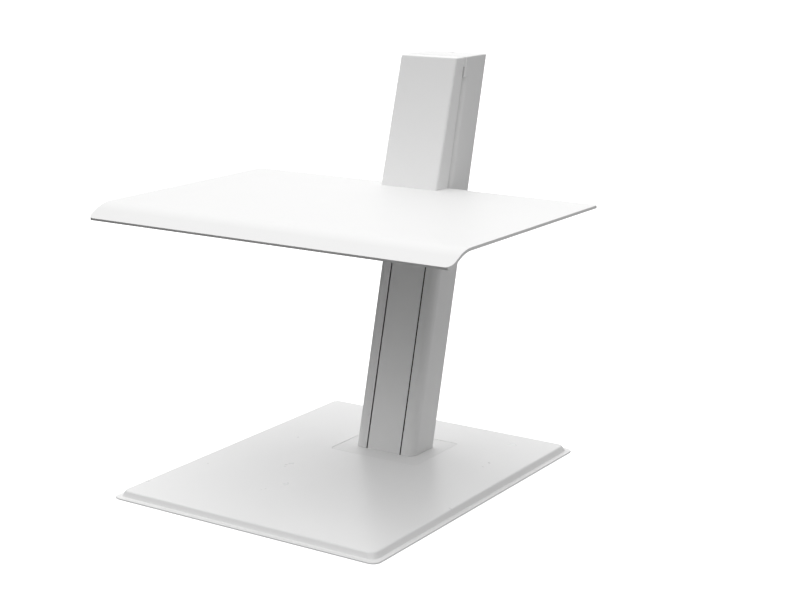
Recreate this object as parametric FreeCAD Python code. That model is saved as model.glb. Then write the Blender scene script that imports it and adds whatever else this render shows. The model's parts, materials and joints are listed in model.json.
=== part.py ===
"""Standing desk converter: a flat base, a column that leans back, and a platform that slides on it.

World frame: X to the right, Y to the back, Z up, origin at the middle of the base's footprint on
the floor, millimetres. Everything on the column is first built in the column's own frame, with
x as in the world, v from the column's front face towards its back, and w up along the column,
and then leant back into place. The platform is at the top of its travel.
"""

import FreeCAD, Part
import math
import os
from FreeCAD import Placement, Rotation, Vector

# Base
BASE_X, BASE_Y = 533.4, 642.8
BASE_CORNER_R = 15.0
FLANGE_W = 8.2
FLANGE_BOTTOM_Z, FLANGE_TOP_Z = 0.6, 3.1
BASE_TOP_Z = 13.2
BASE_TOP_INSET = 13.15
SHOULDER_R, CREASE_R = 4.5, 2.0
COVER_T = 2.0
PLATE_T = 4.0
PLATE_INSET = 17.5
PAD_R, PAD_X, PAD_Y = 18.0, 222.0, 276.0
STUD_R, STUD_X, STUD_Y = 2.0, 180.0, 235.0

# Column
LEAN_DEG = 14.21
COLUMN_FRONT_Y = 97.44
COLUMN_W, COLUMN_D, COLUMN_T = 124.6, 68.0, 3.0
COLUMN_FRONT_R, COLUMN_REAR_R = 14.0, 4.5
SLOT_X, SLOT_W, LIP_T = 35.67, 2.6, 1.0
COLUMN_TOP_Z, CAP_H = 706.0, 35.0
CAP_FRONT_R, CAP_TOP_R, CAP_T = 2.5, 2.2, 2.5
FOOT_TOP_W = 40.0
COLLAR_X, COLLAR_Y, COLLAR_R, COLLAR_GAP = 90.0, (61.0, 207.0), 7.0, 0.45

# Platform
PLATFORM_X = 712.6
PLATFORM_REAR_Y, BEND_Y = 212.46, -217.9
PLATFORM_Z, PLATFORM_T = 480.0, 5.0
LIP_TIP_Y, LIP_DEG = -257.9, 27.5
BEND_R = 74.0
LIP_CORNER_R, REAR_CORNER_R = 12.0, 7.0

# Cover box in front of the column; its sides flare towards the back
TOWER_X, TOWER_FLARE = 58.5, 0.095
TOWER_FOOT_Y, TOWER_TILT_DEG = 178.07, 16.37
TOWER_TOP_Z, TOWER_T = 705.6, 2.5
TOWER_GAP, TOWER_EDGE_R, TOWER_TOP_R = 2.5, 4.2, 2.8
LIP_GAP, LIP_H = 0.6, 17.0
TOWER_BOSS_X, TOWER_BOSS_Y = (-53.5, 53.5), 196.0
SEAT_DEPTH, SEAT_PLAY = 0.3, 0.3

# Carriage inside the column, at the top of its travel, as heights along the column
TRAVEL = 400.0
CARRIAGE_W = (455.0, 615.0)
ARM_T = 2.0
CROSSBAR_V = (10.0, 16.0)
AXLE_R, AXLE_X, ROLLER_R, ROLLER_X = 4.0, 52.5, 11.7, (38.2, 49.2)
UPPER_AXLE_VW, LOWER_AXLE_VW = (15.0, 575.0), (53.0, 472.0)

# Balance mechanism
WHEEL_VW = (27.0, 668.0)
BIG_PITCH_R, SMALL_PITCH_R = 14.0, 7.0
CABLE_R, CABLE_X = 0.75, 12.0
SPRING_V, SPRING_R, SPRING_WIRE_R, SPRING_TURNS = 34.0, 11.0, 1.6, 32
TOP_SEAT_W, BOTTOM_SEAT_W = (640.0, 648.0), (232.0, 240.0)
SCREW_V, SCREW_R = 51.5, 4.0
CHEEK_X, CHEEK_T = 26.0, 3.0
BRACKET_W = (630.0, 692.0)
HEX_R, HEX_DEPTH = 1.75, 1.6

CLEAR = 0.3       # between bodies that move past each other
RUNNING = 0.05    # radial play of a shaft in its bore
FAR = 2000.0      # larger than the whole object

LEAN, TILT = math.radians(LEAN_DEG), math.radians(TOWER_TILT_DEG)
PLACE = Placement(Vector(0, COLUMN_FRONT_Y, BASE_TOP_Z), Rotation(Vector(1, 0, 0), -LEAN_DEG))
PLATE_TOP_Z = BASE_TOP_Z - COVER_T
PLATE_BOTTOM_Z = PLATE_TOP_Z - PLATE_T
ARM_X = (SLOT_X - ARM_T / 2, SLOT_X + ARM_T / 2)
UNDERSIDE_Z = PLATFORM_Z - PLATFORM_T
BRACKET_T = 3.0
BRACKET_Z = UNDERSIDE_Z - BRACKET_T
SEAT_Z = PLATFORM_Z - SEAT_DEPTH
TOWER_FRONT = Vector(0, math.sin(TILT), math.cos(TILT))
X_AXIS, Z_AXIS, FORWARD = Vector(1, 0, 0), Vector(0, 0, 1), Vector(0, -1, 0)


# Helpers -----------------------------------------------------------------------------------

def block(x, y, z):
    """A box between the low and high value on each axis."""
    return Part.makeBox(x[1] - x[0], y[1] - y[0], z[1] - z[0], Vector(x[0], y[0], z[0]))


def both(x):
    """The same x range on the left and on the right, low value first."""
    return [(-x[1], -x[0]), x]


def cylinder(radius, start, end):
    run = end.sub(start)
    return Part.makeCylinder(radius, run.Length, start, run)


def cone(r_start, r_end, start, end):
    run = end.sub(start)
    return Part.makeCone(r_start, r_end, run.Length, start, run)


def ring(r_in, r_out, start, end):
    return cylinder(r_out, start, end).cut(cylinder(r_in, start, end))


def hex_bar(corner_r, start, end):
    """A hexagonal bar between two points."""
    run = end.sub(start)
    corners = [Vector(corner_r * math.cos(math.radians(a)), corner_r * math.sin(math.radians(a)), 0)
               for a in range(0, 361, 60)]
    bar = Part.Face(Part.makePolygon(corners)).extrude(Vector(0, 0, run.Length))
    bar.Placement = Placement(start, Rotation(Z_AXIS, run))
    return bar


def is_along(edge, direction):
    return edge.Curve.TypeId == "Part::GeomLine" and abs(edge.Curve.Direction.dot(direction)) > 0.999


def round_along(solid, direction, radius, keep=lambda edge: True):
    """Rounds the straight edges that run along a direction."""
    edges = [e for e in solid.Edges if is_along(e, direction) and keep(e)]
    return solid.makeFillet(radius, edges)


def round_at_top(solid, z, radius):
    """Rounds every edge that lies whole at height z."""
    edges = [e for e in solid.Edges if all(abs(p.Z - z) < 0.01 for p in e.Vertexes)]
    return solid.makeFillet(radius, edges)


def rounded_block(x, y, z, radius):
    return round_along(block(x, y, z), Z_AXIS, radius)


def side_prism(outline, x):
    """Extrudes an outline of (y, z) points across x."""
    wire = Part.makePolygon([Vector(x[0], y, z) for y, z in outline + outline[:1]])
    return Part.Face(wire).extrude(Vector(x[1] - x[0], 0, 0))


def plan_wire(inset, corner_r, z):
    """The base's outline moved inwards, at height z: four lines joined by four arcs."""
    half_x, half_y = BASE_X / 2 - inset, BASE_Y / 2 - inset
    arcs = []
    for quarter, (sx, sy) in enumerate(((1, 1), (-1, 1), (-1, -1), (1, -1))):
        centre = Vector(sx * (half_x - corner_r), sy * (half_y - corner_r), z)
        start = quarter * math.pi / 2
        circle = Part.Circle(centre, Z_AXIS, corner_r)
        arcs.append(circle.toShape(start, start + math.pi / 2))
    edges = []
    for arc, following in zip(arcs, arcs[1:] + arcs[:1]):
        edges.append(arc)
        edges.append(Part.makeLine(arc.Vertexes[-1].Point, following.Vertexes[0].Point))
    return Part.Wire(edges)


def lean(shape):
    """Moves a shape from the column's frame to the world frame."""
    leant = shape.copy()
    leant.Placement = PLACE.multiply(leant.Placement)
    return leant


def world(x, v, w):
    """A point of the column's frame in the world frame."""
    return PLACE.multVec(Vector(x, v, w))


def level_slab(z):
    """Everything between two heights of the world frame."""
    return block((-FAR, FAR), (-FAR, FAR), z)


def column_y(v, z):
    """World y of the plane that lies v behind the column's front face, at height z."""
    return COLUMN_FRONT_Y + (z - BASE_TOP_Z) * math.tan(LEAN) + v / math.cos(LEAN)


def cut_all(shape, tools):
    return shape.cut(Part.makeCompound(tools))


def group(solids):
    return Part.makeCompound(solids)


def flat_screw(head_r, shank_r, head_point, direction, length):
    """A countersunk screw: its head's face is at head_point, its shank runs along direction."""
    direction = Vector(direction).normalize()
    head_end = head_point.add(direction * (head_r - shank_r))
    tip = head_point.add(direction * length)
    return cone(head_r, shank_r, head_point, head_end).fuse(cylinder(shank_r, head_end, tip))


def cap_screw(head_r, head_h, shank_r, seat_point, direction, length):
    """A screw with a cylindrical socket head that stands on seat_point, against direction."""
    direction = Vector(direction).normalize()
    top = seat_point.sub(direction * head_h)
    tip = seat_point.add(direction * length)
    socket = cylinder(head_r * 0.45, top, top.add(direction * head_h * 0.6))
    return cylinder(head_r, top, seat_point).fuse(cylinder(shank_r, seat_point, tip)).cut(socket)


# Base --------------------------------------------------------------------------------------

def bevel_inset(z):
    """How far the rising side is inside the flange's outer edge at height z."""
    share = (z - FLANGE_TOP_Z) / (BASE_TOP_Z - FLANGE_TOP_Z)
    return FLANGE_W + share * (BASE_TOP_INSET - FLANGE_W)


def stud_points(z):
    return [Vector(sx * STUD_X, sy * STUD_Y, z) for sx in (-1, 1) for sy in (-1, 1)]


def is_inside_flange(edge):
    """True for an edge at the foot of the rising side, not on the flange's rim."""
    middle = edge.CenterOfMass
    return abs(middle.x) < BASE_X / 2 - FLANGE_W / 2 and abs(middle.y) < BASE_Y / 2 - FLANGE_W / 2


def base_cover():
    flange = Part.Face(plan_wire(0, BASE_CORNER_R, FLANGE_BOTTOM_Z))
    flange = flange.extrude(Vector(0, 0, FLANGE_TOP_Z - FLANGE_BOTTOM_Z))
    foot = plan_wire(FLANGE_W, BASE_CORNER_R - 2, FLANGE_TOP_Z)
    top = plan_wire(BASE_TOP_INSET, BASE_CORNER_R - 3, BASE_TOP_Z)
    rise = round_at_top(Part.makeLoft([foot, top], True, True), BASE_TOP_Z, SHOULDER_R)
    pan = flange.fuse(rise).removeSplitter()
    crease = [e for e in pan.Edges if all(abs(p.Z - FLANGE_TOP_Z) < 0.01 for p in e.Vertexes)
              and is_inside_flange(e)]
    pan = pan.makeFillet(CREASE_R, crease)
    side_t = COVER_T * 1.1
    cavity_wires = []
    for z in (FLANGE_BOTTOM_Z - 1, PLATE_TOP_Z):
        cavity_wires.append(plan_wire(bevel_inset(z) + side_t, BASE_CORNER_R - 4, z))
    cavity = Part.makeLoft(cavity_wires, True, True)
    half, y = COLLAR_X + COLLAR_GAP, (COLLAR_Y[0] - COLLAR_GAP, COLLAR_Y[1] + COLLAR_GAP)
    opening = rounded_block((-half, half), y, (0, FAR), COLLAR_R + COLLAR_GAP)
    cover = pan.cut(cavity).cut(opening)
    studs = [cylinder(STUD_R, p, p.sub(Vector(0, 0, 8))) for p in stud_points(PLATE_TOP_Z)]
    return cover.fuse(studs).removeSplitter()


def base_plate():
    half_x, half_y = BASE_X / 2 - PLATE_INSET, BASE_Y / 2 - PLATE_INSET
    z = (PLATE_BOTTOM_Z, PLATE_TOP_Z)
    plate = rounded_block((-half_x, half_x), (-half_y, half_y), z, 10)
    holes = [cylinder(STUD_R + CLEAR, p, p.sub(Vector(0, 0, PLATE_T))) for p in stud_points(PLATE_TOP_Z)]
    return cut_all(plate, holes + foot_bolt_solids())


def foot_pads():
    places = [(0, 0)] + [(sx * PAD_X, sy * PAD_Y) for sx in (-1, 1) for sy in (-1, 1)]
    pads = []
    for x, y in places:
        pad = cylinder(PAD_R, Vector(x, y, 0), Vector(x, y, PLATE_BOTTOM_Z))
        pads.append(pad.makeChamfer(0.5, [e for e in pad.Edges if e.Vertexes[0].Z < 0.1 and e.Closed
                                          and e.Curve.TypeId == "Part::GeomCircle"]))
    return group(pads)


def base_cover_nuts():
    nuts = []
    for p in stud_points(PLATE_BOTTOM_Z):
        low = p.sub(Vector(0, 0, 3.2))
        nuts.append(hex_bar(4.04, low, p).cut(cylinder(STUD_R, low, p)))
    return group(nuts)


def collar_plate():
    plate = rounded_block((-COLLAR_X, COLLAR_X), COLLAR_Y, (PLATE_TOP_Z, BASE_TOP_Z), COLLAR_R)
    return plate.cut(lean(column_prism(0.25, (-40, 60))))


def foot_bolt_solids():
    """Four bolts from under the base plate, straight up into the column's foot."""
    bolts = []
    for x in (-38, 38):
        for y in (118, 150):
            seat = Vector(x, y, PLATE_BOTTOM_Z)
            bolts.append(cap_screw(6.5, 4.5, 4, seat, Z_AXIS, 16))
    return bolts


# Column ------------------------------------------------------------------------------------

def column_prism(margin, w, front_r=COLUMN_FRONT_R):
    """The column's outer shape in its own frame, grown by a margin, or shrunk if it is negative."""
    half, middle = COLUMN_W / 2 + margin, COLUMN_D / 2
    prism = block((-half, half), (-margin, COLUMN_D + margin), w)
    prism = round_along(prism, Z_AXIS, front_r + margin, lambda e: e.CenterOfMass.y < middle)
    return round_along(prism, Z_AXIS, COLUMN_REAR_R + margin, lambda e: e.CenterOfMass.y > middle)


def column_hollow(gap, w):
    """The space inside the column's walls, shrunk by a gap."""
    return column_prism(-COLUMN_T - gap, w)


def foot_screw_heads():
    return [Vector(x, COLUMN_D, 31) for x in (-45, -20, 20, 45)]


def column_foot_screw_solids():
    """Screws from the back: the inner two reach the front strip, the outer two end in the foot."""
    lengths = (24, COLUMN_D - 1.2, COLUMN_D - 1.2, 24)
    return [lean(flat_screw(4, 2, head, FORWARD, length))
            for head, length in zip(foot_screw_heads(), lengths)]


def top_bracket_screw_heads():
    return [Vector(x, COLUMN_D, w) for x in (-18, 18) for w in (642, 680)]


def top_bracket_screw_solids():
    return [lean(flat_screw(4, 2, head, FORWARD, 6)) for head in top_bracket_screw_heads()]


def with_sockets(screws, heads):
    """Cuts a hex socket into the flat head of each screw in the column's back."""
    sockets = [lean(hex_bar(HEX_R, p.sub(FORWARD), p.add(FORWARD * HEX_DEPTH))) for p in heads]
    return group([screw.cut(socket) for screw, socket in zip(screws, sockets)])


def slot_opening():
    """The gap in the front wall, wider at the back, so that thin lips are left at the slots."""
    mouth = SLOT_X + SLOT_W / 2
    back = mouth + COLUMN_T - LIP_T
    outline = [(-mouth, -1), (mouth, -1), (mouth, LIP_T), (back, COLUMN_T), (back, COLUMN_T + 1),
               (-back, COLUMN_T + 1), (-back, COLUMN_T), (-mouth, LIP_T)]
    wire = Part.makePolygon([Vector(x, v, -FAR) for x, v in outline + outline[:1]])
    return Part.Face(wire).extrude(Vector(0, 0, 2 * FAR))


def column_shell():
    outer = column_prism(0, (-60, 760))
    shell = outer.cut(column_hollow(0, (-FAR, FAR))).cut(slot_opening())
    shell = lean(shell).common(level_slab((PLATE_TOP_Z, COLUMN_TOP_Z - CAP_H)))
    return cut_all(shell, column_foot_screw_solids() + top_bracket_screw_solids())


def column_front_strip():
    half = SLOT_X - SLOT_W / 2
    face = block((-half, half), (0, COLUMN_T), (-60, 760))
    legs = [block(x, (COLUMN_T, 9), (FOOT_TOP_W + 2, 625)) for x in both((half - 3, half))]
    strip = lean(face.fuse(legs)).common(level_slab((PLATE_TOP_Z, COLUMN_TOP_Z - CAP_H)))
    return cut_all(strip, column_foot_screw_solids())


def column_foot():
    foot = lean(column_hollow(0.05, (-60, FOOT_TOP_W))).common(level_slab((PLATE_TOP_Z, FAR)))
    return cut_all(foot, foot_bolt_solids() + column_foot_screw_solids())


def access_hole():
    """The tool's way down to the adjuster, along the column."""
    return lean(cylinder(3.2, Vector(0, SCREW_V, 700), Vector(0, SCREW_V, 760)))


def column_top_cap():
    """A squarer cap, level on top, with two tongues that plug into the extrusion."""
    z_low = COLUMN_TOP_Z - CAP_H
    cap = lean(column_prism(0, (500, 900), CAP_FRONT_R)).common(level_slab((z_low, COLUMN_TOP_Z)))
    cap = round_at_top(cap, COLUMN_TOP_Z, CAP_TOP_R)
    half = COLUMN_W / 2 - CAP_T
    room = block((-half, half), (CAP_T, COLUMN_D - CAP_T), (500, 900))
    cap = cap.cut(lean(room).common(level_slab((-FAR, COLUMN_TOP_Z - CAP_T))))
    inner = COLUMN_W / 2 - COLUMN_T
    tongues = [lean(block(x, (14, 54), (600, 720))) for x in both((inner - 2.05, inner - 0.05))]
    tongues = group(tongues).common(level_slab((z_low - 14, z_low + 5)))
    roots = [lean(block(x, (14, 54), (600, 720))) for x in both((inner - 2.05, half + 0.5))]
    roots = group(roots).common(level_slab((z_low, z_low + 5)))
    return cap.fuse([tongues, roots]).cut(access_hole()).removeSplitter()


def top_bracket():
    """Back plate, two cheeks, a lower front web for the end stop and an upper rear flange."""
    back_v = (COLUMN_D - COLUMN_T - 3, COLUMN_D - COLUMN_T)
    outer = CHEEK_X + CHEEK_T
    parts = [block(x, (9, back_v[1]), BRACKET_W) for x in both((CHEEK_X, outer))]
    parts.append(block((-CHEEK_X, CHEEK_X), (9, 19), (BRACKET_W[0], BRACKET_W[0] + 4)))
    parts.append(block((-CHEEK_X, CHEEK_X), (40, back_v[1]), (BRACKET_W[1] - 4, BRACKET_W[1])))
    bracket = block((-outer, outer), back_v, BRACKET_W).fuse(parts).removeSplitter()
    v, w = WHEEL_VW
    holes = [cylinder(AXLE_R, Vector(-40, v, w), Vector(40, v, w))]
    for x in (-CABLE_X, CABLE_X):
        cable_v = v - BIG_PITCH_R
        holes.append(cylinder(2.5, Vector(x, cable_v, 620), Vector(x, cable_v, 640)))
    holes.append(cylinder(5 + CLEAR, Vector(0, SCREW_V, 685), Vector(0, SCREW_V, 695)))
    return cut_all(lean(cut_all(bracket, holes)), top_bracket_screw_solids())


def bumper(w):
    """A rubber end stop between two heights of the column, in line with the crossbars."""
    return lean(round_along(block((-8, 8), (9.5, 17), w), Z_AXIS, 2))


# Balance mechanism -------------------------------------------------------------------------

def wheel_profile():
    """Half section of the stepped drum as (x, radius) corners, from the middle outwards."""
    small, big = SMALL_PITCH_R - CABLE_R - CLEAR, BIG_PITCH_R - CABLE_R - CLEAR
    return [(6, small), (6, 9.5), (7, 9.5), (7, big), (17, big), (17, 16), (18.5, 16)]


def balance_wheel():
    right = wheel_profile()
    left = [(-x, r) for x, r in reversed(right)]
    v, w = WHEEL_VW
    bore = AXLE_R + RUNNING
    corners = [(-18.5, bore)] + left + right + [(18.5, bore), (-18.5, bore)]
    face = Part.Face(Part.makePolygon([Vector(x, v + r, w) for x, r in corners]))
    return lean(face.revolve(Vector(0, v, w), X_AXIS, 360))


def wheel_axle():
    v, w = WHEEL_VW
    return lean(cylinder(AXLE_R, Vector(-31, v, w), Vector(31, v, w)))


def axle_clips():
    v, w = WHEEL_VW
    return group([lean(ring(AXLE_R, 7, Vector(x[0], v, w), Vector(x[1], v, w)))
                  for x in both((CHEEK_X + CHEEK_T, CHEEK_X + CHEEK_T + 1.2))])


def screw_rod(radius, w):
    return cylinder(radius, Vector(0, SCREW_V, w[0]), Vector(0, SCREW_V, w[1]))


def adjust_screw():
    """Threaded shank, collar that takes the spring's thrust, and a stem with a hex socket."""
    socket = hex_bar(2.9, Vector(0, SCREW_V, 711), Vector(0, SCREW_V, 721))
    screw = screw_rod(SCREW_R, (618, 683)).fuse([screw_rod(8, (682, 685.7)), screw_rod(5, (685, 718))])
    return lean(screw.cut(socket))


def thrust_washer():
    return lean(screw_rod(8, (686, 688)).cut(screw_rod(5 + CLEAR, (686, 688))))


def spring_top_seat():
    half = CHEEK_X - 2 * CLEAR
    seat = rounded_block((-half, half), (20, 59), TOP_SEAT_W, 3)
    bore = screw_rod(SCREW_R + RUNNING, (600, 700))
    cable_way = cylinder(2.2, Vector(0, SPRING_V, 600), Vector(0, SPRING_V, 700))
    return lean(cut_all(seat, [bore, cable_way]))


def spring_bottom_seat():
    low, high = BOTTOM_SEAT_W
    cup = cylinder(12.6, Vector(0, SPRING_V, low), Vector(0, SPRING_V, high))
    spigot = cylinder(SPRING_R - SPRING_WIRE_R - 1, Vector(0, SPRING_V, high), Vector(0, SPRING_V, high + 8))
    way = cylinder(CABLE_R, Vector(0, SPRING_V, low - 1), Vector(0, SPRING_V, high + 9))
    return lean(cup.fuse(spigot).cut(way))


def ferrule(x, v, w):
    way = cylinder(CABLE_R, Vector(x, v, w[0] - 1), Vector(x, v, w[1] + 1))
    return lean(cylinder(3, Vector(x, v, w[0]), Vector(x, v, w[1])).cut(way))


def counterbalance_spring():
    low = BOTTOM_SEAT_W[1] + SPRING_WIRE_R + CLEAR
    high = TOP_SEAT_W[0] - SPRING_WIRE_R - CLEAR
    coil = Part.makeHelix((high - low) / SPRING_TURNS, high - low, SPRING_R)
    start = coil.Edges[0].valueAt(coil.Edges[0].FirstParameter)
    tangent = coil.Edges[0].tangentAt(coil.Edges[0].FirstParameter)
    section = Part.Wire(Part.makeCircle(SPRING_WIRE_R, start, tangent))
    spring = Part.Wire(coil).makePipeShell([section], True, True)
    spring.translate(Vector(0, SPRING_V, low))
    return lean(spring)


def spring_cable():
    low = BOTTOM_SEAT_W[0] - 6
    return lean(cylinder(CABLE_R, Vector(0, SPRING_V, low), Vector(0, SPRING_V, WHEEL_VW[1])))


def carriage_cables():
    v = WHEEL_VW[0] - BIG_PITCH_R
    low = CARRIAGE_W[1] - 26
    return group([lean(cylinder(CABLE_R, Vector(x, v, low), Vector(x, v, WHEEL_VW[1])))
                  for x in (-CABLE_X, CABLE_X)])


# Carriage ----------------------------------------------------------------------------------

def axle_solid(vw):
    return lean(cylinder(AXLE_R, Vector(-AXLE_X, *vw), Vector(AXLE_X, *vw)))


def spine_bolt_solids(side):
    bolts = []
    for w in (515, 552, 590):
        seat = world(side * ARM_X[1], -15, w)
        bolts.append(cap_screw(4.2, 3, 2.5, seat, Vector(-side, 0, 0), 8))
    return bolts


def bracket_bolt_solids(side):
    bolts = []
    for y in (150, 185):
        seat = Vector(side * (ARM_X[1] + BRACKET_T), y, 463.5)
        bolts.append(cap_screw(4.2, 3, 2.5, seat, Vector(-side, 0, 0), 8))
    return bolts


def carriage_arm(side):
    """A plate in one slot: inside the column it holds the axles, outside it has two tabs, one
    inside the cover box and one under the platform."""
    x = tuple(sorted((side * ARM_X[0], side * ARM_X[1])))
    low, high = CARRIAGE_W
    inside = [(62.5, low), (62.5, high), (7, high), (7, high - 4), (-22, high - 4), (-22, 492),
              (5, 492), (5, low)]
    plate = lean(side_prism(inside, x))
    tab = [(column_y(7, 447), 447), (column_y(7, BRACKET_Z), BRACKET_Z), (125, BRACKET_Z), (125, 458)]
    plate = plate.fuse(side_prism(tab, x)).removeSplitter()
    tools = [axle_solid(UPPER_AXLE_VW), axle_solid(LOWER_AXLE_VW)]
    return cut_all(plate, tools + spine_bolt_solids(side) + bracket_bolt_solids(side))


def crossbar(v, w):
    """A bar between the two arms."""
    return lean(block((-ARM_X[0], ARM_X[0]), v, w))


def carriage_crossbar_upper():
    v = WHEEL_VW[0] - BIG_PITCH_R
    low, high = CARRIAGE_W[1] - 20, CARRIAGE_W[1]
    bar = crossbar(CROSSBAR_V, (low, high))
    ways = [lean(cylinder(CABLE_R, Vector(x, v, low - 1), Vector(x, v, high + 1)))
            for x in (-CABLE_X, CABLE_X)]
    return cut_all(bar, ways)


def cable_ferrules():
    v = WHEEL_VW[0] - BIG_PITCH_R
    w = (CARRIAGE_W[1] - 26, CARRIAGE_W[1] - 20)
    return group([ferrule(x, v, w) for x in (-CABLE_X, CABLE_X)])


def roller(vw, side):
    """A track roller with a shallow crown, a hub on its inner side and a bore on the axle."""
    low, high = ROLLER_X
    start, end = Vector(side * low, *vw), Vector(side * high, *vw)
    wheel = cylinder(ROLLER_R, start, end)
    rims = [e for e in wheel.Edges if e.Curve.TypeId == "Part::GeomCircle"]
    wheel = wheel.makeChamfer(0.8, rims)
    recess = ring(6.5, 9.8, Vector(side * (high - 3), *vw), Vector(side * (high + 1), *vw))
    bore = cylinder(AXLE_R + RUNNING, Vector(side * (low - 1), *vw), Vector(side * (high + 1), *vw))
    return lean(wheel.cut(recess).cut(bore))


def on_both_axles(r_out, x):
    """Rings around both axles, on the left and on the right."""
    rings = []
    for vw in (UPPER_AXLE_VW, LOWER_AXLE_VW):
        for low, high in both(x):
            rings.append(lean(ring(AXLE_R, r_out, Vector(low, *vw), Vector(high, *vw))))
    return group(rings)


def glide_pads():
    """Low-friction blocks between the arms and the column's side walls."""
    pads = []
    side_wall = COLUMN_W / 2 - COLUMN_T
    for x in both((ARM_X[1], side_wall - CLEAR)):
        for w in (500, 536):
            pads.append(lean(rounded_block(x, (22, 44), (w, w + 22), 3)))
    return group(pads)


def platform_screw_points():
    return [Vector(x, y, BRACKET_Z) for x in (-20, 20) for y in (191.5, 202.5)]


def platform_screw_solids():
    return [cap_screw(4.2, 3, 2.5, p, Z_AXIS, PLATFORM_Z + 3 - BRACKET_Z) for p in platform_screw_points()]


def bracket_screw_solids():
    """Short screws that end inside the platform's sheet, so that its top stays clean."""
    screws = []
    for x in (-72, 72):
        for y in (-20, 75, 170):
            screws.append(cap_screw(4.2, 3, 2.5, Vector(x, y, BRACKET_Z), Z_AXIS, BRACKET_T + 3.2))
    return screws


def tower_cover_screw_solids():
    return [cap_screw(3.5, 3, 1.8, Vector(x, TOWER_BOSS_Y, BRACKET_Z), Z_AXIS, 22) for x in TOWER_BOSS_X]


def tower_spine():
    """A channel that stands on the platform inside the cover box; the arms bolt to its flanges."""
    half = ARM_X[0]
    web = block((-half, half), (-8, -5), (450, 690))
    flanges = [block(x, (-22, -8), (450, 690)) for x in both((half - 3, half))]
    channel = lean(web.fuse(flanges)).common(level_slab((SEAT_Z, FAR)))
    foot = block((-half, half), (186, 209), (SEAT_Z, PLATFORM_Z + 3))
    bolts = spine_bolt_solids(-1) + spine_bolt_solids(1)
    return cut_all(channel.fuse(foot).removeSplitter(), bolts + platform_screw_solids())


def tower_outline(inset, rear_v, z):
    """Side view of the cover box between two heights, its sloping front moved inwards."""
    def front_y(height):
        return TOWER_FOOT_Y + (height - PLATFORM_Z) * math.tan(TILT) + inset / math.cos(TILT)

    return [(front_y(z[0]), z[0]), (column_y(rear_v, z[0]), z[0]),
            (column_y(rear_v, z[1]), z[1]), (front_y(z[1]), z[1])]


def flared(outline, inset):
    """Extrudes a side view of the cover box across the space between its two flaring sides."""
    slope = math.tan(TILT)
    below, depth, height = 50, 100, 400
    z, front_y = PLATFORM_Z - below, TOWER_FOOT_Y - below * slope
    half = TOWER_X - inset
    back = half + TOWER_FLARE * depth
    corners = [Vector(-half, front_y, z), Vector(half, front_y, z),
               Vector(back, front_y + depth, z), Vector(-back, front_y + depth, z)]
    between = Part.Face(Part.makePolygon(corners + corners[:1]))
    between = between.extrude(Vector(0, height * slope, height))
    return side_prism(outline, (-FAR, FAR)).common(between)


def tower_cover():
    """A tapered box, open at the back and below, with a lip at its top that closes the gap to the
    column's cap, and two screw bosses at its foot."""
    body = flared(tower_outline(0, -TOWER_GAP, (SEAT_Z, TOWER_TOP_Z)), 0)
    body = round_along(body, TOWER_FRONT, TOWER_EDGE_R)
    lip = flared(tower_outline(4, -LIP_GAP, (TOWER_TOP_Z - LIP_H, TOWER_TOP_Z)), 0.8)
    top_edges = [e for e in body.Edges if all(abs(p.Z - TOWER_TOP_Z) < 0.01 for p in e.Vertexes)
                 and e.CenterOfMass.y < column_y(-TOWER_GAP, TOWER_TOP_Z) - 0.5]
    body = body.makeFillet(TOWER_TOP_R, top_edges)
    body = body.fuse(lip.common(level_slab((0, TOWER_TOP_Z - 0.4))))
    inner_z = (PLATFORM_Z - 1, TOWER_TOP_Z - TOWER_T)
    room = flared(tower_outline(TOWER_T, 0, inner_z), TOWER_T)
    room = round_along(room, TOWER_FRONT, TOWER_EDGE_R - TOWER_T)
    lip_wall = lean(block((-FAR, FAR), (-TOWER_GAP, 0), (600, 760)))
    room = room.cut(lip_wall.common(level_slab((TOWER_TOP_Z - LIP_H, FAR))))
    bosses = []
    for x in TOWER_BOSS_X:
        foot = Vector(x, TOWER_BOSS_Y, SEAT_Z)
        bosses.append(cylinder(5, foot, foot.add(Vector(0, 0, 22))))
    return cut_all(body.cut(room).fuse(bosses).removeSplitter(), tower_cover_screw_solids())


def tower_back_cover():
    """A flat panel that closes the box's back, slotted for the arms."""
    inside = flared(tower_outline(0, 0, (SEAT_Z, TOWER_TOP_Z - TOWER_T)), TOWER_T + 0.2)
    panel = lean(block((-FAR, FAR), (-TOWER_GAP - 2, -TOWER_GAP), (450, 760))).common(inside)
    low = SLOT_X - 1.6
    slots = [lean(block(x, (-10, 0), (488, CARRIAGE_W[1]))) for x in both((low, low + 3.2))]
    return cut_all(panel, slots)


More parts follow.
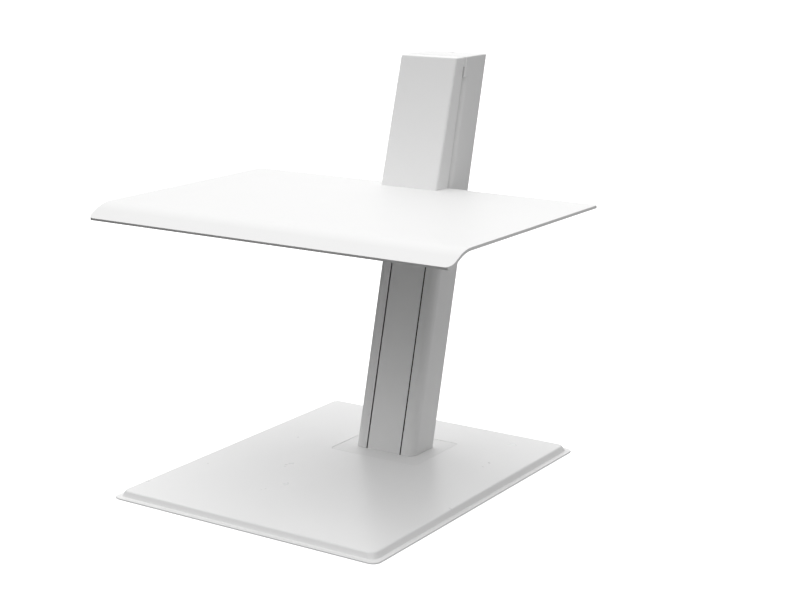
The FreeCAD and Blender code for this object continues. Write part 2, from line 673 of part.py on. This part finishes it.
def platform_outline():
    """Side view of the bent sheet: the flat, the bend about one centre, and the front lip."""
    turn = math.radians(LIP_DEG)
    inner_r = BEND_R - PLATFORM_T
    tangent = BEND_R * math.tan(turn / 2)
    flat_end = BEND_Y + tangent
    centre = (flat_end, PLATFORM_Z - BEND_R)
    slope = (-math.cos(turn), -math.sin(turn))
    lip_run = (BEND_Y - LIP_TIP_Y) / math.cos(turn)

    def on_arc(radius, angle):
        return Vector(0, centre[0] - radius * math.sin(angle), centre[1] + radius * math.cos(angle))

    def on_lip(depth):
        normal = (-math.sin(turn), math.cos(turn))
        y = BEND_Y + slope[0] * lip_run - normal[0] * depth
        z = PLATFORM_Z + slope[1] * lip_run - normal[1] * depth
        return Vector(0, y, z)

    rear_top = Vector(0, PLATFORM_REAR_Y, PLATFORM_Z)
    rear_low = Vector(0, PLATFORM_REAR_Y, UNDERSIDE_Z)
    edges = [Part.makeLine(rear_top, on_arc(BEND_R, 0)),
             Part.Arc(on_arc(BEND_R, 0), on_arc(BEND_R, turn / 2), on_arc(BEND_R, turn)).toShape(),
             Part.makeLine(on_arc(BEND_R, turn), on_lip(0)),
             Part.makeLine(on_lip(0), on_lip(PLATFORM_T)),
             Part.makeLine(on_lip(PLATFORM_T), on_arc(inner_r, turn)),
             Part.Arc(on_arc(inner_r, turn), on_arc(inner_r, turn / 2), on_arc(inner_r, 0)).toShape(),
             Part.makeLine(on_arc(inner_r, 0), rear_low),
             Part.makeLine(rear_low, rear_top)]
    return Part.Wire(edges)


def tower_seat():
    """The shallow seat milled into the platform for the cover box, open to the rear."""
    outline = tower_outline(-SEAT_PLAY, 5, (SEAT_Z, PLATFORM_Z + 5))
    return round_along(flared(outline, -SEAT_PLAY), TOWER_FRONT, TOWER_EDGE_R + SEAT_PLAY)


def platform():
    half = PLATFORM_X / 2
    sheet = Part.Face(platform_outline()).extrude(Vector(PLATFORM_X, 0, 0))
    sheet.translate(Vector(-half, 0, 0))
    plan = block((-half, half), (LIP_TIP_Y, PLATFORM_REAR_Y), (400, 520))
    plan = round_along(plan, Z_AXIS, LIP_CORNER_R, lambda e: e.CenterOfMass.y < 0)
    plan = round_along(plan, Z_AXIS, REAR_CORNER_R, lambda e: e.CenterOfMass.y > 0 and
                       abs(e.CenterOfMass.x) > half - 1)
    sheet = sheet.common(plan)
    screws = platform_screw_solids() + bracket_screw_solids() + tower_cover_screw_solids()
    return cut_all(sheet, screws + [tower_seat()])


def platform_bracket():
    """A plate under the platform with a tapering rib beside each arm."""
    plate = rounded_block((-90, 90), (-40, 209), (BRACKET_Z, UNDERSIDE_Z), 8)
    rear_v = -3.5
    rib = [(column_y(rear_v, BRACKET_Z), BRACKET_Z + 0.01), (column_y(rear_v, 446), 446), (60, 459),
           (-32, 467), (-32, BRACKET_Z + 0.01)]
    ribs = [side_prism(rib, x) for x in both((ARM_X[1], ARM_X[1] + BRACKET_T))]
    bracket = plate.fuse(ribs).common(lean(block((-FAR, FAR), (-FAR, rear_v), (-FAR, FAR))))
    tools = platform_screw_solids() + bracket_screw_solids() + tower_cover_screw_solids()
    return cut_all(bracket.removeSplitter(), tools + bracket_bolt_solids(-1) + bracket_bolt_solids(1))


# Nodes -------------------------------------------------------------------------------------

NODES = {
    "base_cover": base_cover,
    "base_plate": base_plate,
    "foot_pads": foot_pads,
    "base_cover_nuts": base_cover_nuts,
    "collar_plate": collar_plate,
    "column_foot": column_foot,
    "foot_bolts": lambda: group(foot_bolt_solids()),
    "column_shell": column_shell,
    "column_front_strip": column_front_strip,
    "column_foot_screws": lambda: with_sockets(column_foot_screw_solids(), foot_screw_heads()),
    "column_top_cap": column_top_cap,
    "top_bracket": top_bracket,
    "top_bracket_screws": lambda: with_sockets(top_bracket_screw_solids(), top_bracket_screw_heads()),
    "wheel_axle": wheel_axle,
    "axle_clips": axle_clips,
    "thrust_washer": thrust_washer,
    "upper_bumper": lambda: bumper((CARRIAGE_W[1] + CLEAR, BRACKET_W[0])),
    "lower_bumper": lambda: bumper((FOOT_TOP_W, CARRIAGE_W[0] - TRAVEL - CLEAR)),
    "balance_wheel": balance_wheel,
    "adjust_screw": adjust_screw,
    "spring_top_seat": spring_top_seat,
    "spring_bottom_seat": spring_bottom_seat,
    "spring_cable_ferrule": lambda: ferrule(0, SPRING_V, (BOTTOM_SEAT_W[0] - 6, BOTTOM_SEAT_W[0])),
    "counterbalance_spring": counterbalance_spring,
    "spring_cable": spring_cable,
    "carriage_cables": carriage_cables,
    "carriage_arm_left": lambda: carriage_arm(-1),
    "carriage_arm_right": lambda: carriage_arm(1),
    "carriage_crossbar_upper": carriage_crossbar_upper,
    "carriage_crossbar_lower": lambda: crossbar(CROSSBAR_V, (CARRIAGE_W[0], CARRIAGE_W[0] + 20)),
    "carriage_crossbar_rear": lambda: crossbar((58.5, 62.5), (490, 600)),
    "cable_ferrules": cable_ferrules,
    "upper_roller_axle": lambda: axle_solid(UPPER_AXLE_VW),
    "lower_roller_axle": lambda: axle_solid(LOWER_AXLE_VW),
    "roller_spacers": lambda: on_both_axles(6, (ARM_X[1], ROLLER_X[0] - CLEAR)),
    "roller_clips": lambda: on_both_axles(6, (ROLLER_X[1] + CLEAR, ROLLER_X[1] + 1.3)),
    "upper_roller_left": lambda: roller(UPPER_AXLE_VW, -1),
    "upper_roller_right": lambda: roller(UPPER_AXLE_VW, 1),
    "lower_roller_left": lambda: roller(LOWER_AXLE_VW, -1),
    "lower_roller_right": lambda: roller(LOWER_AXLE_VW, 1),
    "glide_pads": glide_pads,
    "tower_spine": tower_spine,
    "spine_bolts": lambda: group(spine_bolt_solids(-1) + spine_bolt_solids(1)),
    "tower_cover": tower_cover,
    "tower_back_cover": tower_back_cover,
    "tower_cover_screws": lambda: group(tower_cover_screw_solids()),
    "platform": platform,
    "platform_bracket": platform_bracket,
    "platform_screws": lambda: group(platform_screw_solids()),
    "bracket_screws": lambda: group(bracket_screw_solids()),
    "bracket_bolts": lambda: group(bracket_bolt_solids(-1) + bracket_bolt_solids(1)),
}

os.makedirs("parts", exist_ok=True)
for name, make in NODES.items():
    shape = make()
    shape.exportStep(f"parts/{name}.step")
    limits = shape.BoundBox
    print(f"{name}: {len(shape.Solids)} solids, {shape.Volume / 1000:.2f} cm3, valid {shape.isValid()},"
          f" y {limits.YMin:.1f}..{limits.YMax:.1f}, z {limits.ZMin:.1f}..{limits.ZMax:.1f}")
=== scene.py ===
"""Standing desk converter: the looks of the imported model, its camera and its light."""

import bpy
import json
import math
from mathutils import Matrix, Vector


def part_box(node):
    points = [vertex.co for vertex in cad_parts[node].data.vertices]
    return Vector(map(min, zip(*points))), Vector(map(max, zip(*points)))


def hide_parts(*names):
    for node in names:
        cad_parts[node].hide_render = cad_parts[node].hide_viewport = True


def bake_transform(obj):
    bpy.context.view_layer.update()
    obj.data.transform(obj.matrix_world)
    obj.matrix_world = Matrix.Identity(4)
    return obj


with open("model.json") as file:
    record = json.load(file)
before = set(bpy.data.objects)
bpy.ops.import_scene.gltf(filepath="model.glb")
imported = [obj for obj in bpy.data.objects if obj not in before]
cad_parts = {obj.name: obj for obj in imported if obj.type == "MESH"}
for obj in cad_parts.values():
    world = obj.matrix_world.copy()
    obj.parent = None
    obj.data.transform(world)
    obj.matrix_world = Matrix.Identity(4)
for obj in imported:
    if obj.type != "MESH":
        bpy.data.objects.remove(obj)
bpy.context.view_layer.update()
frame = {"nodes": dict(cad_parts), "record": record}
record = frame["record"]
joint_axes = {joint["name"]: joint["axis"] for joint in record["behaviour"]["joints"]}
MM = 0.001

# Up along the leaning column, the way the platform slides
UP = Vector(joint_axes["lift"]).normalized()
# The column's depth, how thick its coat is taken to be, so that the painted shade in its hollow
# starts that far behind the front and before the rear, and how far that painted shade reaches to
# either side of the middle
COLUMN_DEPTH, PAINTED_DEPTH, HOLLOW_REACH = 68 * MM, 0.5 * MM, 45 * MM


# Camera and light ---------------------------------------------------------------------------

def make_camera():
    data = bpy.data.cameras.new("camera")
    data.lens = 75.57
    camera = bpy.data.objects.new("camera", data)
    camera.location = (1.5938, -2.2807, 0.9876)
    camera.rotation_euler = (math.radians(76.35), 0, math.radians(33.23))
    bpy.context.scene.collection.objects.link(camera)
    bpy.context.scene.camera = camera


# Soft lamps of the studio: (degrees round from +X, degrees up, how narrow, strength)
LAMPS = [
    (0, 90, 4, 1.1),
    (60, 50, 8, 0.2), (120, 50, 8, 1.2), (180, 50, 8, 0.95),
    (240, 50, 8, 0.9), (300, 50, 8, 0.95),
    (0, 12, 8, 0.1), (60, 12, 8, 0.35), (120, 12, 8, 0.8), (240, 12, 8, 0.4),
    (0, -25, 6, 0.8), (90, -25, 6, 0.55),
]


def make_world():
    """A white studio tent: each lamp is a broad glow in one direction, and they add up."""
    world = bpy.data.worlds.new("studio")
    bpy.context.scene.world = world
    world.use_nodes = True
    nodes, links = world.node_tree.nodes, world.node_tree.links
    background = nodes["Background"]
    direction = nodes.new("ShaderNodeTexCoord").outputs["Generated"]
    total = None
    for round_deg, up_deg, narrow, strength in LAMPS:
        turn, rise = math.radians(round_deg), math.radians(up_deg)
        facing = nodes.new("ShaderNodeVectorMath")
        facing.operation = "DOT_PRODUCT"
        level = math.cos(rise)
        facing.inputs[1].default_value = (level * math.cos(turn), level * math.sin(turn),
                                          math.sin(rise))
        links.new(direction, facing.inputs[0])
        lit = math_node(nodes, links, "MAXIMUM", facing.outputs["Value"], 0.0)
        glow = math_node(nodes, links, "POWER", lit, narrow)
        scaled = math_node(nodes, links, "MULTIPLY", glow, strength)
        total = scaled if total is None else math_node(nodes, links, "ADD", total, scaled)
    links.new(total, background.inputs["Strength"])
    background.inputs["Color"].default_value = (1, 1, 1, 1)


def make_floor():
    """A white floor that glows by itself, so that it stays evenly pale round the object."""
    bpy.ops.mesh.primitive_grid_add(x_subdivisions=8, y_subdivisions=8, size=60)
    floor = bpy.context.object
    floor.name = "floor"
    material = bpy.data.materials.new("floor")
    material.use_nodes = True
    shader = material.node_tree.nodes["Principled BSDF"]
    shader.inputs["Base Color"].default_value = (0.9, 0.9, 0.9, 1)
    shader.inputs["Roughness"].default_value = 1
    shader.inputs["Specular IOR Level"].default_value = 0
    shader.inputs["Emission Color"].default_value = (1, 1, 1, 1)
    shader.inputs["Emission Strength"].default_value = 0.6
    floor.data.materials.append(material)
    floor.visible_diffuse = False
    floor.visible_glossy = False
    floor.visible_transmission = False
    floor.visible_volume_scatter = False
    floor.visible_shadow = False


# Shader helpers -----------------------------------------------------------------------------

def math_node(nodes, links, operation, first, second):
    node = nodes.new("ShaderNodeMath")
    node.operation = operation
    for socket, value in zip(node.inputs, (first, second)):
        if isinstance(value, (int, float)):
            socket.default_value = value
        else:
            links.new(value, socket)
    return node.outputs[0]


class Finish:
    """One procedural material, built up from textures in the piece's own coordinates (metres)."""

    def __init__(self, name, color, roughness, metallic=0.0, specular=0.5):
        self.material = bpy.data.materials.new(name)
        self.material.use_nodes = True
        self.nodes = self.material.node_tree.nodes
        self.links = self.material.node_tree.links
        self.shader = self.nodes["Principled BSDF"]
        self.shader.inputs["Metallic"].default_value = metallic
        self.shader.inputs["Specular IOR Level"].default_value = specular
        self.place = self.nodes.new("ShaderNodeTexCoord").outputs["Object"]
        self.color, self.roughness = color, roughness
        self.normal = None

    def stretched(self, scale):
        """The piece's coordinates, stretched per axis."""
        mapping = self.nodes.new("ShaderNodeMapping")
        mapping.inputs["Scale"].default_value = scale
        self.links.new(self.place, mapping.inputs["Vector"])
        return mapping.outputs[0]

    def noise(self, per_metre, detail=3.0, place=None):
        texture = self.nodes.new("ShaderNodeTexNoise")
        texture.inputs["Scale"].default_value = per_metre
        texture.inputs["Detail"].default_value = detail
        self.links.new(place or self.place, texture.inputs["Vector"])
        return texture.outputs["Fac"]

    def cells(self, per_metre, output="Distance"):
        texture = self.nodes.new("ShaderNodeTexVoronoi")
        texture.inputs["Scale"].default_value = per_metre
        self.links.new(self.place, texture.inputs["Vector"])
        return texture.outputs[output]

    def spread(self, value, low, high, start=0.3, end=0.7):
        """Maps a texture value between start and end to low and high."""
        node = self.nodes.new("ShaderNodeMapRange")
        ends = {"From Min": start, "From Max": end, "To Min": low, "To Max": high}
        for name, number in ends.items():
            node.inputs[name].default_value = number
        self.links.new(value, node.inputs["Value"])
        return node.outputs[0]

    def tint(self, value, dark, light=None, start=0.3, end=0.7):
        """Colours the piece between two shades by a texture value."""
        ramp = self.nodes.new("ShaderNodeValToRGB")
        ramp.color_ramp.elements[0].position = start
        ramp.color_ramp.elements[1].position = end
        ramp.color_ramp.elements[0].color = (*dark, 1)
        ramp.color_ramp.elements[1].color = (*(light or self.color), 1)
        self.links.new(value, ramp.inputs[0])
        self.links.new(ramp.outputs[0], self.shader.inputs["Base Color"])
        return self

    def gloss(self, value, low, high, start=0.3, end=0.7):
        self.links.new(self.spread(value, low, high, start, end), self.shader.inputs["Roughness"])
        return self

    def bump(self, height, depth, strength=1.0):
        """Adds a relief of the given depth in metres on top of the reliefs made before."""
        node = self.nodes.new("ShaderNodeBump")
        node.inputs["Distance"].default_value = depth
        node.inputs["Strength"].default_value = strength
        self.links.new(height, node.inputs["Height"])
        if self.normal is not None:
            self.links.new(self.normal, node.inputs["Normal"])
        self.normal = node.outputs[0]
        self.links.new(self.normal, self.shader.inputs["Normal"])
        return self


def shade(color, share):
    return tuple(channel * share for channel in color)


def powder_coat(name, color, roughness, peel=0.00006):
    """Baked powder: faint clouding, orange peel, and the fine grain of the powder itself."""
    finish = Finish(name, color, roughness)
    clouds = finish.noise(14, 4)
    peel_waves = finish.noise(420, 2)
    grain = finish.noise(2600, 2)
    finish.tint(grain, shade(color, 0.965))
    finish.gloss(clouds, roughness - 0.03, roughness + 0.04)
    finish.bump(peel_waves, peel)
    finish.bump(grain, peel / 8)
    return finish.material


def extrusion_with_painted_shade(name, color, roughness):
    """Powder coat outside; the hollow of the column, seen through its slots, is coloured near black
    as painted shade.
    """
    material = powder_coat(name, color, roughness)
    nodes, links = material.node_tree.nodes, material.node_tree.links
    shader = nodes["Principled BSDF"]
    backwards = Vector((0, UP.z, -UP.y))
    front = backwards.dot(Vector(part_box("column_front_strip")[0]))
    rear = front + COLUMN_DEPTH
    place = nodes.new("ShaderNodeTexCoord").outputs["Object"]
    depth = nodes.new("ShaderNodeVectorMath")
    depth.operation = "DOT_PRODUCT"
    depth.inputs[1].default_value = backwards
    links.new(place, depth.inputs[0])
    depth_there = depth.outputs["Value"]
    behind = math_node(nodes, links, "GREATER_THAN", depth_there, front + PAINTED_DEPTH)
    before = math_node(nodes, links, "LESS_THAN", depth_there, rear - PAINTED_DEPTH)
    split = nodes.new("ShaderNodeSeparateXYZ")
    links.new(place, split.inputs[0])
    aside = math_node(nodes, links, "ABSOLUTE", split.outputs["X"], 0)
    between = math_node(nodes, links, "LESS_THAN", aside, HOLLOW_REACH)
    within = math_node(nodes, links, "MULTIPLY", behind, before)
    painted_shade_mask = math_node(nodes, links, "MULTIPLY", within, between)
    # Painted shade: the column's hollow is coloured near black, so that the slots look dark
    mix = nodes.new("ShaderNodeMixRGB")
    mix.inputs["Color2"].default_value = (*HOLLOW_SHADE_BLACK, 1)
    links.new(painted_shade_mask, mix.inputs["Fac"])
    links.new(shader.inputs["Base Color"].links[0].from_socket, mix.inputs["Color1"])
    links.new(mix.outputs[0], shader.inputs["Base Color"])
    return material


def moulded_plastic(name, color, roughness):
    """Spark-eroded mould texture: small shallow pits between rounded grains."""
    finish = Finish(name, color, roughness, specular=0.4)
    pits = finish.cells(1500)
    grain = finish.noise(3200, 2)
    finish.tint(grain, shade(color, 0.965))
    finish.gloss(finish.noise(30, 3), roughness - 0.03, roughness + 0.05)
    finish.bump(pits, 0.00003)
    finish.bump(grain, 0.00001)
    return finish.material


def plated_sheet(name, color, roughness, spangle=170):
    """Zinc: large faint crystals, rolling lines along the sheet and small stains."""
    finish = Finish(name, color, roughness, metallic=1.0)
    crystals = finish.cells(spangle, output="Color")
    lines = finish.noise(60, 4, finish.stretched((40, 40, 2)))
    finish.tint(crystals, shade(color, 0.82), start=0.2, end=0.8)
    finish.gloss(lines, roughness - 0.08, roughness + 0.12)
    finish.bump(lines, 0.00002)
    finish.bump(finish.noise(900, 3), 0.00001)
    return finish.material


def black_oxide(name, color, roughness):
    """Blackened steel: blue-black with worn lighter grain and an oily, uneven sheen."""
    finish = Finish(name, color, roughness, metallic=0.85)
    finish.tint(finish.noise(700, 5), shade(color, 0.7), tuple(c * 1.5 for c in color), 0.35, 0.75)
    finish.gloss(finish.noise(130, 4), roughness - 0.1, roughness + 0.15)
    finish.bump(finish.noise(1600, 3), 0.00002)
    return finish.material


def drawn_wire(name, color, roughness):
    """Drawn wire: fine lines along the wire, with a thin film of oil."""
    finish = Finish(name, color, roughness, metallic=1.0)
    lines = finish.noise(500, 3, finish.stretched((3, 3, 1)))
    finish.tint(lines, shade(color, 0.6))
    finish.gloss(finish.noise(90, 3), roughness - 0.1, roughness + 0.15)
    finish.bump(lines, 0.00002)
    return finish.material


def cast_metal(name, color, roughness):
    """Die casting: fine pebbled skin with flow marks."""
    finish = Finish(name, color, roughness, metallic=1.0)
    finish.tint(finish.noise(120, 5), shade(color, 0.8))
    finish.gloss(finish.noise(400, 3), roughness - 0.05, roughness + 0.15)
    finish.bump(finish.cells(700), 0.00008)
    finish.bump(finish.noise(2000, 3), 0.00003)
    return finish.material


def turned_brass(name, color, roughness):
    """Turned brass with fine tool marks and a light tarnish."""
    finish = Finish(name, color, roughness, metallic=1.0)
    finish.tint(finish.noise(200, 4), shade(color, 0.75))
    finish.gloss(finish.noise(800, 2), roughness - 0.08, roughness + 0.1)
    finish.bump(finish.noise(2500, 2, finish.stretched((1, 1, 4))), 0.00002)
    return finish.material


def natural_nylon(name, color, roughness):
    """Unpigmented nylon: milky, faintly mottled and a little translucent."""
    finish = Finish(name, color, roughness)
    finish.shader.inputs["Subsurface Weight"].default_value = 0.15
    finish.shader.inputs["Subsurface Radius"].default_value = (0.003, 0.0025, 0.002)
    finish.tint(finish.noise(90, 4), shade(color, 0.93))
    finish.gloss(finish.noise(300, 3), roughness - 0.05, roughness + 0.08)
    finish.bump(finish.noise(1200, 3), 0.00003)
    return finish.material


def rubber(name, color, roughness):
    """Matt moulded rubber with a dusty bloom and a fine pebble."""
    finish = Finish(name, color, roughness, specular=0.3)
    finish.tint(finish.noise(250, 5), color, tuple(c * 1.9 for c in color), 0.4, 0.8)
    finish.gloss(finish.noise(600, 3), roughness - 0.06, roughness + 0.06)
    finish.bump(finish.cells(1400), 0.00006)
    return finish.material


WHITE = (0.87, 0.87, 0.868)
# Near-black painted shade for the column's hollow, seen through the slots
HOLLOW_SHADE_BLACK = (0.004, 0.004, 0.004)
FINISHES = {
    "platform_paint": (powder_coat, WHITE, 0.5),
    "base_paint": (powder_coat, (0.9, 0.9, 0.898), 0.3),
    "collar_paint": (powder_coat, WHITE, 0.42),
    "column_paint": (extrusion_with_painted_shade, WHITE, 0.42),
    "bracket_paint": (powder_coat, WHITE, 0.5),
    "cap_plastic": (moulded_plastic, WHITE, 0.45),
    "tower_plastic": (moulded_plastic, (0.92, 0.92, 0.918), 0.45),
    "arm_steel": (black_oxide, (0.09, 0.09, 0.095), 0.45),
    "black_steel": (black_oxide, (0.045, 0.045, 0.05), 0.4),
    "bare_steel": (plated_sheet, (0.56, 0.57, 0.58), 0.38),
    "zinc_steel": (plated_sheet, (0.68, 0.69, 0.72), 0.28),
    "spring_steel": (drawn_wire, (0.32, 0.32, 0.34), 0.32),
    "cable_steel": (drawn_wire, (0.5, 0.5, 0.5), 0.35),
    "cast_aluminium": (cast_metal, (0.62, 0.62, 0.63), 0.45),
    "brass": (turned_brass, (0.72, 0.53, 0.25), 0.3),
    "nylon": (natural_nylon, (0.8, 0.79, 0.75), 0.42),
    "rubber": (rubber, (0.02, 0.02, 0.021), 0.72),
}


def apply_finishes():
    made = {}
    for slot, (make, color, roughness) in FINISHES.items():
        made[slot] = make(slot, color, roughness)
    for part in record["subparts"]:
        mesh = frame["nodes"][part["node"]].data
        mesh.materials.clear()
        mesh.materials.append(made[part["material_slot"]])
    return made


# Edges --------------------------------------------------------------------------------------

# Radius of the small rounding left on the sharp edges of each visible piece, in millimetres;
# the base cover's edges are rounded in its own shape
EDGE_RADII = {
    "platform": 0.9, "base_cover": 0, "collar_plate": 0.5, "column_shell": 0.3,
    "column_front_strip": 0.3, "column_top_cap": 0.3, "tower_cover": 0.3, "tower_back_cover": 0.3,
    "platform_bracket": 0.5, "base_plate": 0.4, "carriage_arm_left": 0.2, "carriage_arm_right": 0.2,
    "foot_pads": 0.4,
}


def soften_edges(name, radius):
    """Joins the flat faces up again, rounds the sharp edges and keeps the flats evenly shaded."""
    node = frame["nodes"][name]
    weld = node.modifiers.new("weld", "WELD")
    weld.merge_threshold = 0.01 * MM
    flats = node.modifiers.new("flats", "DECIMATE")
    flats.decimate_type = "DISSOLVE"
    flats.angle_limit = math.radians(0.5)
    if radius:
        bevel = node.modifiers.new("edge", "BEVEL")
        bevel.width = radius * MM
        bevel.segments = 3
        bevel.limit_method = "ANGLE"
        bevel.angle_limit = math.radians(40)
    even = node.modifiers.new("even", "WEIGHTED_NORMAL")
    even.weight = 100
    for face in node.data.polygons:
        face.use_smooth = True


# Spring and ropes ---------------------------------------------------------------------------

WIRE_R, SPRING_TURNS, UPPER_SHARE = 1.6 * MM, 30, 0.16
ROPE_R, ROPE_LAY, STRANDS = 0.75 * MM, 12 * MM, 6


def ends_of(node, radius):
    """The axis of a node that is a round bar along the column: its upper and its lower end."""
    low, high = (Vector(corner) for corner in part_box(node))
    length = (high.z - low.z - 2 * radius * abs(UP.y)) / UP.z
    middle = (low + high) / 2
    return middle + UP * length / 2, middle - UP * length / 2


def swept_tube(centres, radius, sides):
    """A closed tube round a run of points."""
    points, faces = [], []
    for i, centre in enumerate(centres):
        before, after = centres[max(i - 1, 0)], centres[min(i + 1, len(centres) - 1)]
        run = (after - before).normalized()
        reference = Vector((1, 0, 0)) if abs(run.x) < 0.9 else Vector((0, 1, 0))
        across = run.cross(reference).normalized()
        beside = run.cross(across)
        for k in range(sides):
            turn = 2 * math.pi * k / sides
            points.append(centre + (across * math.cos(turn) + beside * math.sin(turn)) * radius)
    for i in range(len(centres) - 1):
        for k in range(sides):
            here, following = i * sides + k, i * sides + (k + 1) % sides
            faces.append((here, following, following + sides, here + sides))
    last = (len(centres) - 1) * sides
    faces.append(tuple(reversed(range(sides))))
    faces.append(tuple(range(last, last + sides)))
    return points, faces


def coil_points(start, end, radius, turns, phase, steps_per_turn):
    """Points on a helix from start to end."""
    run = end - start
    side = Vector((1, 0, 0))
    other = run.normalized().cross(side)
    steps = max(2, int(turns * steps_per_turn))
    points = []
    for i in range(steps + 1):
        turn = phase + 2 * math.pi * turns * i / steps
        outwards = side * math.cos(turn) + other * math.sin(turn)
        points.append(start + run * (i / steps) + outwards * radius)
    return points


def mesh_of_tubes(name, tubes, material):
    """One object made of several tubes."""
    mesh = bpy.data.meshes.new(name)
    points, faces = [], []
    for tube_points, tube_faces in tubes:
        faces += [tuple(i + len(points) for i in face) for face in tube_faces]
        points += tube_points
    mesh.from_pydata([tuple(p) for p in points], [], faces)
    mesh.materials.append(material)
    for face in mesh.polygons:
        face.use_smooth = len(face.vertices) == 4
    piece = bpy.data.objects.new(name, mesh)
    bpy.context.scene.collection.objects.link(piece)
    return piece


def make_spring():
    """A wound spring in an upper and a lower part; each part is listed with the two pieces it runs
    between, but is not attached to them.
    """
    low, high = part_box("counterbalance_spring")
    outer = (high[0] - low[0]) / 2
    top, bottom = ends_of("counterbalance_spring", outer)
    top, bottom = top - UP * WIRE_R, bottom + UP * WIRE_R
    split = top + (bottom - top) * UPPER_SHARE
    upper_turns = SPRING_TURNS * UPPER_SHARE
    lower_turns = SPRING_TURNS * (1 - UPPER_SHARE)
    phase = 2 * math.pi * upper_turns
    parts = (("spring_upper", top, split, upper_turns, 0, "upper_spring_seat", "base"),
             ("spring_lower", split, bottom, lower_turns, phase, "base", "lower_spring_seat"))
    for name, start, end, turns, first_turn, first, second in parts:
        centres = coil_points(start, end, outer - WIRE_R, turns, first_turn, 28)
        piece = mesh_of_tubes(name, [swept_tube(centres, WIRE_R, 12)], materials["spring_steel"])
        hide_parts("counterbalance_spring")
        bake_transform(piece)


def rope(name, start, end):
    """A wire rope: six strands laid round a seventh."""
    strand = ROPE_R / 3
    turns = (end - start).length / ROPE_LAY
    tubes = [swept_tube([start + (end - start) * (i / 40) for i in range(41)], strand, 8)]
    for k in range(STRANDS):
        centres = coil_points(start, end, 2 * strand, turns, 2 * math.pi * k / STRANDS, 10)
        tubes.append(swept_tube(centres, strand, 8))
    return mesh_of_tubes(name, tubes, materials["cable_steel"])


def make_ropes():
    """The rope in the spring, and the two ropes that carry the carriage."""
    top, bottom = ends_of("spring_cable", ROPE_R)
    piece = rope("spring_rope", top, bottom)
    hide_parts("spring_cable")
    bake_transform(piece)
    top, bottom = ends_of("carriage_cables", ROPE_R)
    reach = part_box("carriage_cables")[1][0] - ROPE_R
    for name, x in (("carriage_rope_left", -reach), ("carriage_rope_right", reach)):
        start, end = Vector((x, top.y, top.z)), Vector((x, bottom.y, bottom.z))
        piece = rope(name, start, end)
        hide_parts("carriage_cables")
        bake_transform(piece)


bpy.context.scene.view_settings.view_transform = "Standard"
make_camera()
make_world()
make_floor()
materials = apply_finishes()
for name, radius in EDGE_RADII.items():
    soften_edges(name, radius)
make_spring()
make_ropes()
